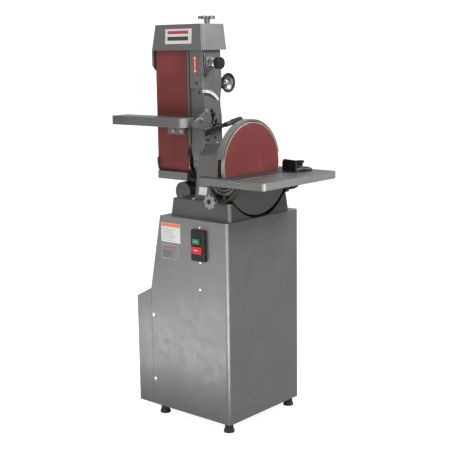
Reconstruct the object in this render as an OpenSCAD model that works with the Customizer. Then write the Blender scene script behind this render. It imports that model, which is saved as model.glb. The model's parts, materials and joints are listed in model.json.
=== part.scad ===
// Combination belt and disc sander on a closed sheet-metal stand.
// Frame: millimetres, +Z up, floor at z = 0, spindle axis along X above y = 0.
// The belt's working face looks along -Y and the disc's along +X.

/* [Abrasives] */
// Width of the sanding belt
belt_w = 152.4; // [150:0.1:153]
// Length of the sanding belt's loop
belt_loop = 1219; // [1216:1:1222]
// Diameter of the disc plate
disc_d = 304.8; // [302:0.1:305]

/* [Stand] */
// Height of the rubber feet
foot_h = 35; // [34:0.5:36]
// Height of the cabinet
stand_h = 724; // [722:1:726]
// Depth of the cabinet, front to back
stand_d = 406; // [404:1:408]
// Width of the cabinet's top
stand_top_w = 319; // [317:1:321]
// Width of the cabinet below its sloping side
stand_low_w = 375; // [373:1:377]
// How far the motor cover stands out
cover_w = 74; // [72:1:76]
// Thickness of the cabinet's sheet
sheet = 2; // [1.5:0.1:2]

/* [Base and spindle] */
// Height of the cast base
base_h = 62; // [61:0.5:63]
// Height of the spindle axis above the cast base
axis_rise = 119; // [119:0.5:120]
// Radius of the spindle shaft
shaft_r = 12.5; // [12:0.1:12.5]
// Radius of the drive drum
drum_r = 66.5; // [66:0.1:66.6]
// Radius of the idler drum
idler_r = 48.5; // [48:0.1:48.6]

/* [Tables] */
// Drop from the spindle axis to the disc table's face
disc_table_drop = 28; // [27:0.5:29]
// Rise from the spindle axis to the belt table's face
belt_table_rise = 166; // [165:1:167]
// Thickness of the disc table
disc_table_t = 26; // [25:0.5:26]
// Thickness of the belt table
belt_table_t = 33; // [32:0.5:33]

/* [Controls] */
// Drop of the belt tension slide when the knob is backed off
tension_drop = 15; // [10:1:15]
// Lobes on the tilt knob
tilt_lobes = 8; // [7:1:9]
// Lobes on the tension knob
tension_lobes = 5; // [4:1:6]

/* [Hidden] */
$fn = 64;
gap = 0.3;

// Heights
stand_top = foot_h + stand_h;
base_top = stand_top + base_h;
axis_z = base_top + axis_rise;
disc_table_z = axis_z - disc_table_drop;
belt_table_z = axis_z + belt_table_rise;

// Cabinet
stand_x1 = 216;
stand_x0 = stand_x1 - stand_low_w;
stand_top_x0 = stand_x1 - stand_top_w;
stand_y0 = -190;
stand_y1 = stand_y0 + stand_d;
slope_z = 481;
cabinet_r = 14;
cover_x0 = stand_x0 - cover_w;
cover_side_z = slope_z - 38;
seam_gap = 1;
foot_xy = [[188, -162], [-128, -162], [188, 186], [-128, 186]];

// Cast base, at its foot; the sides lean in by base_lean
base_x = [-78, 209];
base_y = [-164, 172];
base_lean = 6;
base_corner_r = 14;
base_wall = 8;

// Disc side
disc_r = disc_d / 2;
disc_face_x = 175.5;
grit_t = 1.2;
disc_back_x = 160;
guard_x0 = 146;
guard_r = 159;
shell_r = 175;
shell_x1 = 201;
shell_top_z = axis_z - 72;
rim_foot_z = axis_z + 33;

// Belt side
belt_t = 1.2;
belt_x0 = -223;
belt_x1 = belt_x0 + belt_w;
drive_pitch_r = drum_r + gap + belt_t;
idler_pitch_r = idler_r + gap + belt_t;
belt_face_y = -drive_pitch_r;
idler_y = belt_face_y + idler_pitch_r;
idler_z = axis_z + belt_rise();
arm_x = [-60, 3];
arm_front_y = -60;
quill_r = 42;

// Rise of the idler axis that uses up the belt's loop, with the front run upright
function belt_rise() =
    let (r1 = drive_pitch_r - belt_t / 2, r2 = idler_pitch_r - belt_t / 2,
         lean = asin((r1 - r2) / 424))
    (belt_loop - r1 * (180 + 2 * lean) * PI / 180 - r2 * (180 - 2 * lean) * PI / 180) / 2;

// Pulleys, both the same size, on one plane
pulley_x = [57, 86];
pulley_mid = (pulley_x[0] + pulley_x[1]) / 2;
pulley_r = 45;
groove_depth = 12;
motor_z = 300;
vbelt_top_w = 13;
vbelt_h = 8;

// Disc table tilt: the trunnions turn about a line in the table's face
tilt_x = 197;
gear_module = 1.5;
gear_teeth = 102;
pinion_teeth = 14;
tilt_centres = gear_module * (gear_teeth + pinion_teeth) / 2;
pinion_bearing = 26;
pinion_x = tilt_x - tilt_centres * sin(pinion_bearing);
pinion_z = disc_table_z - tilt_centres * cos(pinion_bearing);
table_x = [90, 388];
table_y = [-200, 216];
ear_y = [-178, 178];
slot_x = [264, 283.5];
slot_depth = 10;

// Belt table, and the lever that locks its trunnion
belt_table_x = [-380, -12];
belt_table_y0 = -150;
belt_table_gap = 2;
trunnion_x = [5, 17];
trunnion_r = 78;
lever_y = -20;
lever_z = axis_z + 131;
lever_lean = 9;

// Belt arm's knobs
screw_x = -22;
screw_y = -7;
track_y = -25;
track_z = axis_z + 357;
wheel_y = 76;
wheel_z = axis_z + 284;

// Hood: rectangles at its foot and top
hood_z = [axis_z + 403, axis_z + 495];
hood_foot = [[-238, 19], [-78, 55]];
hood_top = [[-223, 10], [-72, 51]];
hood_t = 2;

// Miter gauge
gauge_x = (slot_x[0] + slot_x[1]) / 2;
gauge_y = 148;
gauge_turn = -15;

paint = "#76756f";
dark_paint = "#4a4a48";
steel = "#b9babb";
iron = "#8b8c88";
black = "#1c1c1c";
grit_red = "#8a3d38";
rubber = "#222222";

// ---- Shapes that repeat ----

// A box from its two corners
module span(x, y, z)
    translate([x[0], y[0], z[0]]) cube([x[1] - x[0], y[1] - y[0], z[1] - z[0]]);

// Cylinders along each axis, between two places on that axis
module xcyl(r, x, y = 0, z = 0) translate([x[0], y, z]) rotate([0, 90, 0]) cylinder(r = r, h = x[1] - x[0]);
module ycyl(r, y, x = 0, z = 0) translate([x, y[0], z]) rotate([-90, 0, 0]) cylinder(r = r, h = y[1] - y[0]);
module zcyl(r, z, x = 0, y = 0) translate([x, y, z[0]]) cylinder(r = r, h = z[1] - z[0]);

// An outline drawn in Y and Z, extruded along X, and one drawn in X and Z, extruded along Y
module along_x(x) translate([x[0], 0, 0]) rotate([90, 0, 90]) linear_extrude(x[1] - x[0]) children();
module along_y(y) translate([0, y[1], 0]) rotate([90, 0, 0]) linear_extrude(y[1] - y[0]) children();

// A rectangle with round corners
module round_rect(x, y, r) {
    translate([x[0] + r, y[0]]) square([x[1] - x[0] - 2 * r, y[1] - y[0]]);
    translate([x[0], y[0] + r]) square([x[1] - x[0], y[1] - y[0] - 2 * r]);
    for (cx = [x[0] + r, x[1] - r], cy = [y[0] + r, y[1] - r]) translate([cx, cy]) circle(r);
}

// A wedge of a ring, from angle a to angle b
module sector(r0, r1, a, b) {
    steps = 24;
    intersection() {
        difference() {
            circle(r1, $fn = 128);
            if (r0 > 0) circle(r0, $fn = 128);
        }
        polygon(concat([[0, 0]],
            [for (i = [0:steps]) 1.3 * r1 * [cos(a + (b - a) * i / steps), sin(a + (b - a) * i / steps)]]));
    }
}

// Points along an arc of radius r about c
function arc_points(c, r, a, b, n) = [for (i = [0:n]) c + r * [cos(a + (b - a) * i / n), sin(a + (b - a) * i / n)]];

// An arc slot with round ends
module arc_slot(r, half_w, a, b) polygon(concat(
    arc_points([0, 0], r + half_w, a, b, 24),
    arc_points(r * [cos(b), sin(b)], half_w, b + 15, b + 165, 10),
    arc_points([0, 0], r - half_w, b, a, 24),
    arc_points(r * [cos(a), sin(a)], half_w, a + 195, a + 345, 10)));

// A star of round lobes on a hub
module star(r, lobes, lobe_r, hub_r) {
    circle(hub_r);
    for (i = [0:lobes - 1]) rotate(i * 360 / lobes) {
        translate([r - lobe_r, 0]) circle(lobe_r);
        translate([0, -lobe_r * 0.62]) square([r - lobe_r, lobe_r * 1.24]);
    }
}

// A hexagon head or nut along +Z, from its base
module hex_head(flats, h) cylinder(r = flats / sqrt(3), h = h, $fn = 6);

// Points of an involute gear, all round or for some of its teeth
function involute(rb, t) = rb * [cos(t) + t * PI / 180 * sin(t), sin(t) - t * PI / 180 * cos(t)];
function involute_at(rb, r) = r <= rb ? 0 : sqrt(pow(r / rb, 2) - 1) * 180 / PI;
function spin(p, a) = [p[0] * cos(a) - p[1] * sin(a), p[0] * sin(a) + p[1] * cos(a)];
function half_tooth(m, n, slack, pressure = 20) =
    let (rp = m * n / 2, rb = rp * cos(pressure), ra = rp + 0.8 * m, rf = rp - 1.1 * m,
         tp = involute_at(rb, rp), pp = involute(rb, tp),
         lag = atan2(pp[1], pp[0]), half = 90 / n - slack / rp * 90 / PI,
         start = max(rb, rf))
    concat([rf * [cos(-half - lag), sin(-half - lag)]],
        [for (i = [0:4]) let (r = start + (ra - start) * i / 4) spin(involute(rb, involute_at(rb, r)), -half - lag)]);
function tooth(m, n, slack) =
    let (h = half_tooth(m, n, slack)) concat(h, [for (i = [len(h) - 1:-1:0]) [h[i][0], -h[i][1]]]);
module gear(m, n, slack, first, last)
    polygon(concat([for (i = [first:last], p = tooth(m, n, slack)) spin(p, i * 360 / n)],
        last - first < n - 1 ? [[0, 0]] : []));

// ---- Stand ----

module cabinet_outline(in) polygon([
    [in > 0 ? stand_x0 - 20 : stand_x0, foot_h - (in > 0 ? 10 : 0)],
    [stand_x1 - in, foot_h - (in > 0 ? 10 : 0)],
    [stand_x1 - in, stand_top - in],
    [stand_top_x0 + in, stand_top - in],
    [stand_x0 + in, slope_z],
    [in > 0 ? stand_x0 - 20 : stand_x0, slope_z]]);

module cabinet_plan(in) linear_extrude(stand_top + 1) {
    translate([stand_x0 - 20, stand_y0 + in]) square([stand_x1 - stand_x0 + 20 - cabinet_r, stand_d - 2 * in]);
    round_rect([stand_x1 - 100, stand_x1 - in], [stand_y0 + in, stand_y1 - in], cabinet_r - in);
}

belt_hatch = [[45, 98], [-85, 85]];

module stand_cabinet() color(paint) difference() {
    union() {
        difference() {
            intersection() {
                cabinet_plan(0);
                along_y([stand_y0, stand_y1]) cabinet_outline(0);
            }
            intersection() {
                cabinet_plan(sheet);
                along_y([stand_y0 - 1, stand_y1 + 1]) cabinet_outline(sheet);
            }
        }
        // turned-in flanges round the foot, and a sill across the open side
        difference() {
            span([stand_x0, stand_x1 - cabinet_r], [stand_y0 + sheet, stand_y1 - sheet], [foot_h, foot_h + sheet]);
            span([stand_x0 + 62, stand_x1 - 60], [stand_y0 + 62, stand_y1 - 62], [foot_h - 1, foot_h + 9]);
        }
        span([stand_x0, stand_x0 + sheet], [stand_y0 + sheet, stand_y1 - sheet], [foot_h, foot_h + 30]);
    }
    span(belt_hatch[0], belt_hatch[1], [stand_top - 10, stand_top + 1]);
    for (p = foot_xy) zcyl(4.5, [foot_h - 1, foot_h + 9], p[0], p[1]);
    ycyl(10.2, [stand_y1 - 10, stand_y1 + 1], gland_x, gland_z);
    for (p = base_bolt_xy) zcyl(5.5, [stand_top - 10, stand_top + 1], p[0], p[1]);
}

module motor_cover() color(paint) {
    // lips that slip inside the cabinet's front and back
    for (y = [stand_y0 + sheet, stand_y1 - 2 * sheet])
        span([stand_x0 - 12, stand_x0 + 20], [y, y + sheet], [foot_h + 35, cover_side_z - 6]);
    difference() {
        along_y([stand_y0, stand_y1]) polygon([[cover_x0, foot_h], [stand_x0 - seam_gap, foot_h],
            [stand_x0 - seam_gap, slope_z], [cover_x0, cover_side_z]]);
        along_y([stand_y0 + sheet, stand_y1 - sheet]) polygon([[cover_x0 + sheet, foot_h + sheet],
            [stand_x0 + 9, foot_h + sheet], [stand_x0 + 9, slope_z - sheet], [cover_x0 + sheet, cover_side_z - sheet]]);
        for (z = louvre_z) span([cover_x0 - 1, cover_x0 + 9], [-60, 90], [z, z + 6]);
    }
}
louvre_z = [for (i = [0:5]) 120 + 18 * i];

// A tapering foot with a waist, and its washer recess
module rubber_feet() color(rubber) for (p = foot_xy) translate(p) difference() {
    rotate_extrude() polygon([[0, 0], [19, 0], [20, 4], [18, 10], [15, 14], [16, 17], [14, foot_h], [0, foot_h]]);
    translate([0, 0, 12]) cylinder(r = 4.3, h = foot_h);
    translate([0, 0, -1]) cylinder(r = 9, h = 13);
}

seam_screws = [[stand_x0 + 9, 381], [stand_x0 + 11, 134]];
panel_screws = [[86, 511]];
switch_x = [57, 121];
switch_z = [615, 726];
switch_depth = 14;
switch_mid = (switch_x[0] + switch_x[1]) / 2;

module pan_head(r, h) rotate_extrude() intersection() {
    translate([0, h - r * 1.4]) circle(r * 1.4);
    square([r, h]);
}

module pan_screws() color(steel) {
    for (s = seam_screws) translate([s[0], stand_y0, s[1]]) rotate([90, 0, 0]) pan_head(7.5, 4);
    for (s = panel_screws) translate([s[0], stand_y0, s[1]]) rotate([90, 0, 0]) pan_head(4.5, 3);
    for (s = seam_screws) translate([s[0], stand_y1, s[1]]) rotate([-90, 0, 0]) pan_head(7.5, 4);
    for (z = [switch_z[0] - 7, switch_z[1] + 7]) translate([switch_mid, stand_y0, z]) rotate([90, 0, 0]) pan_head(4, 2.6);
    for (x = [30, 120], y = [-22, 22]) translate([x, y, axis_z + 74]) pan_head(4.5, 3);
}

base_bolt_xy = [[-60, -120], [-60, 130], [25, -146], [25, 154]];
housing_bolt_xy = [[18, -60], [18, 60], [128, -60], [128, 60]];

module hex_bolts() color(steel) {
    for (p = base_bolt_xy) translate([p[0], p[1], base_top]) {
        translate([0, 0, 0.1]) cylinder(r = 10, h = 1.4);
        translate([0, 0, 1.4]) hex_head(15, 7);
    }
    for (p = housing_bolt_xy) translate([p[0], p[1], base_top + 12.1]) hex_head(13, 6);
    for (p = foot_xy) translate([p[0], p[1], foot_h + sheet + 0.1]) {
        cylinder(r = 9, h = 1.5);
        translate([0, 0, 1.4]) hex_head(13, 6.5);
    }
    for (p = bracket_bolt_xy, s = [-1, 1]) translate([p[0], s * p[1], base_top + 9.1]) hex_head(10, 5);
}
bracket_bolt_xy = [[152, 151], [178, 151]];

module switch_box() color(black) difference() {
    hull() for (x = [switch_x[0] + 4, switch_x[1] - 4], z = [switch_z[0] + 4, switch_z[1] - 4])
        translate([x, stand_y0, z]) rotate([90, 0, 0]) {
            cylinder(r = 4, h = switch_depth - 3, $fn = 32);
            cylinder(r = 1.5, h = switch_depth, $fn = 32);
        }
    for (b = [start_box, stop_box]) span(b[0] + [-gap, gap], [stand_y0 - switch_depth - 1, stand_y0 - 2], b[1] + [-gap, gap]);
}
start_box = [[71, 103], [677, 696]];
stop_box = [[65, 114], [642, 669]];
button_proud = 6;

module push_button(box, r) intersection() {
    span(box[0], [stand_y0 - switch_depth - button_proud, stand_y0 - 7], box[1]);
    along_y([stand_y0 - 40, stand_y0]) round_rect(box[0], box[1], r);
}
module start_button() color("#1f8a4a") push_button(start_box, 3);
module stop_button() color("#c8202c") push_button(stop_box, 4);

label_t = 0.4;
module front_labels() color("white") {
    span([-98, -4], [stand_y0 - label_t, stand_y0], [665, 735]);
    span([-98, -16], [stand_y0 - label_t, stand_y0], [604, 656]);
    // a sticker on the pulley guard's leaning front, set by the guard's own slope
    guard_sticker([24, 62], [836, 864]);
}
module guard_sticker(x, z) along_x(x) polygon([
    [guard_front(z[0]), z[0]], [guard_front(z[0]) - label_t, z[0]],
    [guard_front(z[1]) - label_t, z[1]], [guard_front(z[1]), z[1]]]);

gland_x = 150;
gland_z = 120;
module cord_gland() color(black) difference() {
    union() {
        ycyl(10, [stand_y1 - 12, stand_y1 + 10], gland_x, gland_z);
        translate([gland_x, stand_y1 + 6.1, gland_z]) rotate([90, 0, 0]) hex_head(26, 6);
        translate([gland_x, stand_y1 - sheet - 0.1, gland_z]) rotate([90, 0, 0]) hex_head(26, 6);
    }
    ycyl(5, [stand_y1 - 13, stand_y1 + 11], gland_x, gland_z);
}

// ---- Motor and drive ----

motor_r = 82;
motor_x = [-215, 15];
plate_z = motor_z - 103;

module motor_plate() color(dark_paint) {
    span([-150, 40], [stand_y0 + sheet + 2.6, stand_y1 - sheet - 2.6], [plate_z - 6, plate_z]);
    for (y = [stand_y0 + sheet + 2.6, stand_y1 - sheet - 5.6])
        span([-130, 40], [y, y + 3], [plate_z - 40, plate_z]);
}

module motor_body() color(dark_paint) difference() {
    union() {
        xcyl(motor_r, [motor_x[0] + 40, motor_x[1] - 30], 0, motor_z);
        xcyl(motor_r - 4, [motor_x[0] + 12, motor_x[1] - 12], 0, motor_z);
        xcyl(motor_r - 22, [motor_x[0], motor_x[1]], 0, motor_z);
        for (a = [0:20:340]) if ((a < 220 || a > 320) && (a < 60 || a > 120))
            translate([0, 0, motor_z]) rotate([a, 0, 0]) span([motor_x[0] + 44, motor_x[1] - 34], [-1.5, 1.5], [motor_r - 3, motor_r + 4]);
        for (y = [-62, 38]) span([-140, 0], [y, y + 24], [plate_z, motor_z - 50]);
        for (y = [-80, 54]) span([-140, 0], [y, y + 26], [plate_z, plate_z + 6]);
    }
    xcyl(10, [motor_x[0] + 60, motor_x[1] + 1], 0, motor_z);
    for (a = [0:30:330]) translate([0, 0, motor_z]) rotate([a, 0, 0])
        span([motor_x[0] - 1, motor_x[0] + 6], [-4, 4], [34, 54]);
}

module motor_terminal_box() color(dark_paint) {
    span([-120, -30], [-122, -motor_r - 0.05], [motor_z - 28, motor_z + 42]);
    xcyl(22, [-140, -20], 60.5, motor_z + 84.7);
}

module motor_shaft() color(steel) difference() {
    xcyl(8, [motor_x[0] + 70, pulley_x[1] + 6], 0, motor_z);
    span([20, pulley_x[1] + 7], [-2, 2], [motor_z + 6, motor_z + 9]);
}

// A one-groove pulley about X, with webbed sides and a bore
module pulley(bore) {
    half = (pulley_x[1] - pulley_x[0]) / 2;
    rotate([0, 90, 0]) rotate_extrude($fn = 96) polygon([
        [bore, -half], [20, -half], [20, -half + 4], [pulley_r - groove_depth - 8, -10], [pulley_r - 2, -10],
        [pulley_r, -vbelt_top_w / 2 - 0.9], [pulley_r - groove_depth, -3.2],
        [pulley_r - groove_depth, 3.2], [pulley_r, vbelt_top_w / 2 + 0.9],
        [pulley_r - 2, 10], [pulley_r - groove_depth - 8, 10], [20, half - 4], [20, half], [bore, half]]);
}
module motor_pulley() color(iron) translate([pulley_mid, 0, motor_z]) pulley(8.02);
module spindle_pulley() color(iron) translate([pulley_mid, 0, axis_z]) pulley(shaft_r + 0.02);

vbelt_r = pulley_r - 0.8;
module v_belt() color(black) translate([pulley_mid, 0, 0]) {
    section = [[vbelt_r, -vbelt_top_w / 2], [vbelt_r, vbelt_top_w / 2],
        [vbelt_r - vbelt_h, vbelt_top_w / 2 - 3.2], [vbelt_r - vbelt_h, -vbelt_top_w / 2 + 3.2]];
    for (end = [[motor_z, -1], [axis_z, 1]]) intersection() {
        translate([0, 0, end[0]]) rotate([0, 90, 0]) rotate_extrude($fn = 96) polygon(section);
        span([-20, 20], [-60, 60], [end[0] + min(0, end[1] * 60), end[0] + max(0, end[1] * 60)]);
    }
    for (s = [0, 180]) rotate(s) translate([0, 0, motor_z]) rotate(90)
        linear_extrude(axis_z - motor_z) polygon(section);
}

// ---- Cast base and spindle ----

// A block with round upright corners whose sides lean in
module leaning_block(x, y, z, lean, r, in) hull()
    for (cx = [0, 1], cy = [0, 1]) {
        sx = cx == 0 ? 1 : -1;
        sy = cy == 0 ? 1 : -1;
        translate([x[cx] + sx * (r + in), y[cy] + sy * (r + in), z[0]]) cylinder(r = r, h = 0.01, $fn = 32);
        translate([x[cx] + sx * (r + in + lean), y[cy] + sy * (r + in + lean), z[1] - 0.01]) cylinder(r = r, h = 0.01, $fn = 32);
    }

module machine_base() color(paint) difference() {
    leaning_block(base_x, base_y, [stand_top, base_top], base_lean, base_corner_r, 0);
    leaning_block(base_x, base_y, [stand_top - 1, base_top - base_wall], base_lean, 8, base_wall);
    // room for the disc's lower shell, and the drive belt's way up
    xcyl(shell_r + 9, [guard_x0 - 9, 230], 0, axis_z);
    span([50, 93], [-58, 58], [base_top - 20, base_top + 1]);
    for (p = base_bolt_xy) zcyl(5.5, [base_top - 20, base_top + 1], p[0], p[1]);
}

bearing_r = 26;
bearing_w = 15;
left_bearing_x = [-62, -47];
right_bearing_x = [112, 127];

module pedestal(x, top_r) along_x(x) difference() {
    union() {
        translate([0, axis_z]) circle(top_r);
        polygon([[-50, base_top + 10], [50, base_top + 10], [top_r * cos(12), axis_z + top_r * sin(12)],
            [-top_r * cos(12), axis_z + top_r * sin(12)]]);
    }
    translate([0, axis_z]) circle(20);
}

module spindle_housing() color(paint) difference() {
    union() {
        pedestal([10, 44], 50);
        pedestal([104, 136], 48);
        xcyl(quill_r, [left_bearing_x[0], 10], 0, axis_z);
        span([10, 136], [-70, 70], [base_top, base_top + 12]);
    }
    xcyl(20, [left_bearing_x[0] - 1, 137], 0, axis_z);
    xcyl(bearing_r + 0.02, left_bearing_x + [-1, 0], 0, axis_z);
    xcyl(bearing_r + 0.02, [right_bearing_x[0], 137], 0, axis_z);
    span([50, 93], [-58, 58], [base_top - 1, base_top + 13]);
}

module spindle_bearings() color(steel) for (x = [left_bearing_x, right_bearing_x]) difference() {
    xcyl(bearing_r, x, 0, axis_z);
    xcyl(shaft_r + 0.04, x + [-1, 1], 0, axis_z);
    for (e = [x + [-15 + 0.8, -15], x + [15, 15 - 0.8]]) translate([min(e), 0, axis_z]) rotate([0, 90, 0])
        difference() {
            cylinder(r = 22, h = 15);
            translate([0, 0, -1]) cylinder(r = 17, h = 17);
        }
}

module spindle_shaft() color(steel) xcyl(shaft_r, [belt_x0 + 1, disc_back_x - 0.2], 0, axis_z);

// Front of the pulley guard at a height, on its leaning face
function guard_front(z) = -122 + (z - base_top) * 25 / 152;

module guard_profile(in) {
    z0 = base_top - (in > 0 ? 1 : 0);
    difference() {
        union() {
            polygon([[guard_front(base_top) + in, z0], [guard_front(base_top + 152) + in, base_top + 152 - in * 0.4],
                [-52, axis_z + 68 - in], [-30, axis_z + 74 - in], [30, axis_z + 74 - in],
                [58, axis_z + 66 - in], [84 - in, axis_z + 30], [104 - in, z0]]);
        }
    }
}

module pulley_guard() color(paint) difference() {
    along_x([8, 144]) guard_profile(0);
    along_x([10, 142]) guard_profile(2.5);
    xcyl(quill_r + 9.5, [7, 11], 0, axis_z);
    xcyl(34, [141, 145], 0, axis_z);
    span([9, 143], [-71, 71], [base_top - 1, base_top + 12.2]);
}

// ---- Disc side ----

module disc_plate() color(steel) difference() {
    union() {
        xcyl(disc_r, [disc_back_x, disc_face_x - grit_t], 0, axis_z);
        xcyl(27, [137, disc_back_x + 1], 0, axis_z);
    }
    xcyl(shaft_r + 0.02, [136, disc_back_x], 0, axis_z);
    // lightening recess in the back
    difference() {
        xcyl(disc_r - 18, [disc_back_x - 1, disc_back_x + 5], 0, axis_z);
        xcyl(34, [disc_back_x - 2, disc_back_x + 6], 0, axis_z);
    }
}

module abrasive_disc() color(grit_red) xcyl(disc_r - 3.5, [disc_face_x - grit_t, disc_face_x], 0, axis_z);

// Everything below, or above, a height
module below(z) span([-400, 400], [-400, 400], [z - 900, z]);
module above(z) span([-400, 400], [-400, 400], [z, z + 900]);

module ring_x(r0, r1, x, z = axis_z) difference() {
    xcyl(r1, x, 0, z, $fn = 128);
    xcyl(r0, x + [-1, 1], 0, z, $fn = 128);
}

port_y = 124;
port_z = axis_z - 40;
port_r = 18;

module disc_guard() color(paint) difference() {
    union() {
        xcyl(guard_r, [guard_x0, guard_x0 + 4], 0, axis_z, $fn = 128);
        intersection() {
            union() {
                xcyl(shell_r, [guard_x0, guard_x0 + 4], 0, axis_z, $fn = 128);
                ring_x(shell_r - 4, shell_r, [guard_x0, shell_x1 - 4]);
            }
            below(shell_top_z);
        }
        intersection() {
            ring_x(guard_r - 3.5, guard_r, [guard_x0, disc_face_x - 4.5]);
            above(shell_top_z);
            below(rim_foot_z);
        }
        xcyl(port_r, [guard_x0 - 40, guard_x0 + 1], port_y, port_z);
    }
    xcyl(port_r - 3, [guard_x0 - 41, guard_x0 + 5], port_y, port_z);
    xcyl(shell_r - 4, [guard_x0 + 4, shell_x1 + 5], 0, axis_z, $fn = 128);
    xcyl(34, [guard_x0 - 1, guard_x0 + 5], 0, axis_z);
}

module disc_guard_cover() color(paint) intersection() {
    xcyl(shell_r, [shell_x1 - 4, shell_x1], 0, axis_z, $fn = 128);
    below(shell_top_z);
}

module disc_guard_rim() color(paint) intersection() {
    union() {
        ring_x(guard_r - 3.5, guard_r, [guard_x0 + 4, disc_face_x - 4.5]);
        ring_x(guard_r, guard_r + 3, [guard_x0, disc_face_x - 4.5]);
    }
    above(rim_foot_z);
}

module drive_drum() color(iron) difference() {
    xcyl(drum_r, [belt_x0 + 1, belt_x1 + 2.6], 0, axis_z, $fn = 128);
    xcyl(shaft_r + 0.02, [belt_x0, belt_x1 + 4], 0, axis_z);
    for (x = [[belt_x0, belt_x0 + 12], [belt_x1 - 9, belt_x1 + 3]]) difference() {
        xcyl(drum_r - 8, x, 0, axis_z);
        xcyl(24, x + [-1, 1], 0, axis_z);
    }
}

// ---- Disc table and its tilt ----

stud_r = 64;
stud_bearings = [244, 275];
tilt_range = [-20, 45];
trunnion_t = 9;

function tilt_point(r, a) = [tilt_x + r * cos(a), disc_table_z + r * sin(a)];

module tilt_brackets() color(dark_paint) for (s = [-1, 1]) {
    inner = ear_y[1] - trunnion_t / 2 - 0.4;
    y = s > 0 ? [inner - 9, inner] : [-inner, -inner + 9];
    difference() {
        union() {
            along_y(y) {
                polygon([[144, base_top], [190, base_top], [206, base_top + 24], [194, base_top + 34],
                    [150, base_top + 34]]);
                translate([pinion_x, pinion_z]) circle(12.5);
                polygon([[148, base_top], [pinion_x - 13, pinion_z], [pinion_x + 13, pinion_z], [200, base_top + 20]]);
                hull() for (a = stud_bearings) translate(tilt_point(stud_r, a)) circle(8);
            }
            span([144, 186], s > 0 ? [140, inner] : [-inner, -140], [base_top, base_top + 9]);
        }
        ycyl(7.05, y + [-1, 1], pinion_x, pinion_z);
    }
    // studs with flanged heads that hold each trunnion in its arc
    for (a = stud_bearings) {
        out = ear_y[1] + trunnion_t / 2;
        ycyl(4, s > 0 ? [inner - 2, out + 3] : [-out - 3, -inner + 2], tilt_point(stud_r, a)[0], tilt_point(stud_r, a)[1]);
        ycyl(6.5, s > 0 ? [out + 0.5, out + 5] : [-out - 5, -out - 0.5], tilt_point(stud_r, a)[0], tilt_point(stud_r, a)[1]);
    }
}

module table_plan() difference() {
    round_rect(table_x, table_y, 15);
    translate([table_x[0] - 20, -guard_r - 3.5]) square([disc_face_x + 2 - table_x[0] + 20, 2 * guard_r + 7]);
}

module disc_table() color(iron) difference() {
    union() {
        translate([0, 0, disc_table_z - 9]) linear_extrude(9) table_plan();
        // skirt round the outside
        difference() {
            translate([0, 0, disc_table_z - disc_table_t]) linear_extrude(disc_table_t) round_rect(table_x, table_y, 15);
            translate([0, 0, disc_table_z - disc_table_t - 1]) linear_extrude(disc_table_t + 2)
                round_rect(table_x + [9, -9], table_y + [9, -9], 7);
            span([table_x[0] - 1, 192], [-guard_r - 3.5, guard_r + 3.5], [disc_table_z - 40, disc_table_z + 1]);
        }
        span([slot_x[0] - 8, slot_x[1] + 8], table_y + [5, -5], [disc_table_z - slot_depth - 8, disc_table_z - 5]);
        for (y = ear_y) span([104, 282], [y - 9, y + 9], [disc_table_z - disc_table_t, disc_table_z - 5]);
        for (y = [-80, 80]) span([290, table_x[1] - 5], [y - 4, y + 4], [disc_table_z - 24, disc_table_z - 5]);
    }
    span(slot_x, table_y + [-1, 1], [disc_table_z - slot_depth, disc_table_z + 1]);
}

gear_pitch_r = gear_module * gear_teeth / 2;
module disc_table_trunnions() color("#3a2d22") for (y = ear_y) along_y([y - trunnion_t / 2, y + trunnion_t / 2])
    translate([tilt_x, disc_table_z]) difference() {
        union() {
            sector(0, gear_pitch_r - 1.9, 199.8, 340.2);
            rotate(270 - pinion_bearing) gear(gear_module, gear_teeth, 0.5, -9, 17);
        }
        translate([-100, -disc_table_t]) square([200, 120]);
        arc_slot(stud_r, 4.5, stud_bearings[0] + tilt_range[0] - 2, stud_bearings[1] + tilt_range[1] + 2);
    }

module tilt_scale() color(black) translate([tilt_x, ear_y[0] - trunnion_t / 2, disc_table_z]) rotate([90, 0, 0])
    linear_extrude(1.2) difference() {
        sector(36, 57, 180, 360);
        translate([-100, -disc_table_t]) square([200, 120]);
    }

module tilt_pinion_knob() color(steel) {
    difference() {
        ycyl(7, [-205, -164], pinion_x, pinion_z);
        translate([pinion_x, 0, pinion_z]) rotate([0, 0, 0]) span([-8, 8], [-163, -160], [-8, 8]);
    }
    along_y([ear_y[0] - 6, ear_y[0] + 4.3]) translate([pinion_x, pinion_z])
        rotate(90 - pinion_bearing + 180 / pinion_teeth) gear(gear_module, pinion_teeth, 0.5, 0, pinion_teeth - 1);
    ycyl(11, [-206, -190], pinion_x, pinion_z);
    along_y([-215, -204]) translate([pinion_x, pinion_z]) star(26.5, tilt_lobes, 5.5, 21);
    ycyl(9, [-217, -215], pinion_x, pinion_z);
}

// A lock at the rear trunnion, on a stud through the bracket
module table_lock_knob() color(black) {
    ycyl(7, [164, 205], pinion_x, pinion_z);
    ycyl(9, [190, 208], pinion_x, pinion_z);
    along_y([206, 221]) translate([pinion_x, pinion_z]) star(17, 6, 4.5, 12);
}

module miter_bar() color(steel) difference() {
    span([slot_x[0] + gap, slot_x[1] - gap], [gauge_y - 190, gauge_y + 60], [disc_table_z - slot_depth + gap, disc_table_z - 0.5]);
    zcyl(4.05, [disc_table_z - slot_depth - 1, disc_table_z + 1], gauge_x, gauge_y);
}

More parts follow.
